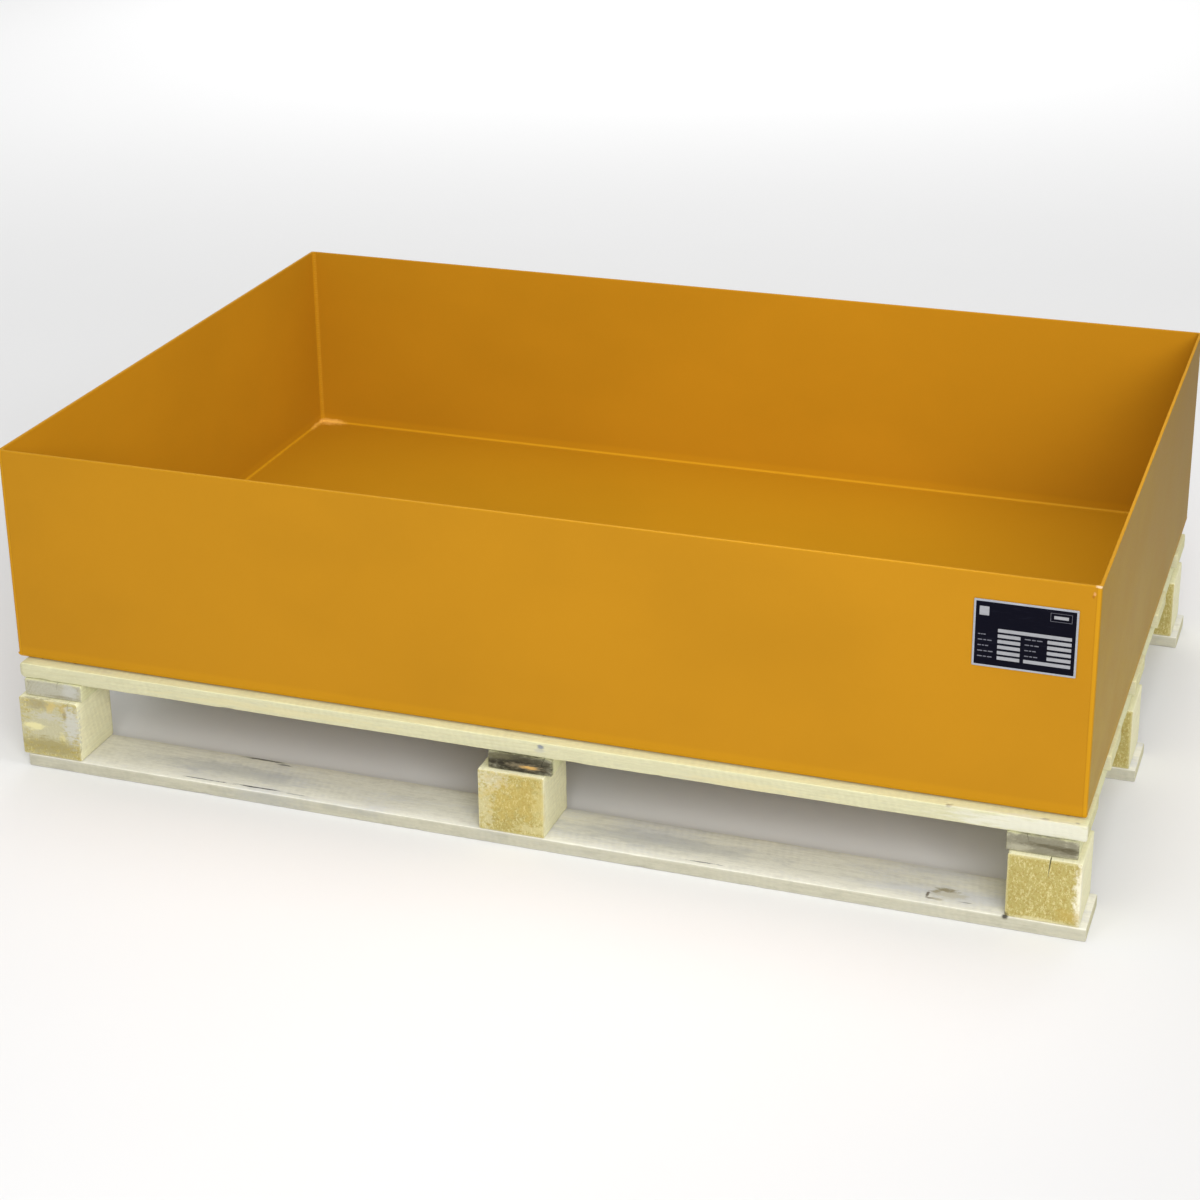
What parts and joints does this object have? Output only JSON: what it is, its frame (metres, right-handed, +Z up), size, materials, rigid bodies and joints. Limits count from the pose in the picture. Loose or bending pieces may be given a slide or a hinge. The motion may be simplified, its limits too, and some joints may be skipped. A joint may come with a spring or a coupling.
{
  "type": "spill containment pallet",
  "caption": "Open folded-steel sump tray with welded corners and a nameplate, standing loose on a light nailed wooden pallet with deck boards, blocks and runners.",
  "frame": {"origin": "on the ground under the middle of the whole object's bounding box", "axes": "+X to the right along the tray's long side, -Y the front with the nameplate, +Z up"},
  "size_m": [1.209, 0.82, 0.3753],
  "materials": {
    "tray_paint": "satin yellow-orange powder coat with a faint mottle",
    "deck_wood": "sawn pine, pale, fine saw marks",
    "cross_wood": "sawn pine, greyed end grain",
    "block_wood": "sawn pine blocks, golden end grain",
    "runner_wood": "sawn pine, greyer, fine dark streaks",
    "nail_steel": "bright nail wire, slightly dulled",
    "nameplate": "black print on plain aluminium with a bare rim",
    "adhesive_pad": "dark foam tape"
  },
  "bodies": {
    "pallet": {"deck_board_1": "deck_wood", "deck_board_2": "deck_wood", "deck_board_3": "deck_wood", "deck_board_4": "deck_wood", "deck_board_5": "deck_wood", "cross_board_left": "cross_wood", "cross_board_middle": "cross_wood", "cross_board_right": "cross_wood", "block_front_left": "block_wood", "block_front_middle": "block_wood", "block_front_right": "block_wood", "block_middle_left": "block_wood", "block_middle_middle": "block_wood", "block_middle_right": "block_wood", "block_back_left": "block_wood", "block_back_middle": "block_wood", "block_back_right": "block_wood", "runner_front": "runner_wood", "runner_middle": "runner_wood", "runner_back": "runner_wood", "long_nails": "nail_steel", "short_nails": "nail_steel", "runner_nails": "nail_steel"},
    "tray": {"tray_pan": "tray_paint", "weld_front_left": "tray_paint", "weld_front_right": "tray_paint", "weld_back_left": "tray_paint", "weld_back_right": "tray_paint", "nameplate_pad": "adhesive_pad", "nameplate": "nameplate"}
  },
  "joints": [
    {"name": "tray_lift", "type": "slide", "parent": "pallet", "child": "tray", "axis": [0, 0, 1], "range_m": [0, 0.3]}
  ]
}
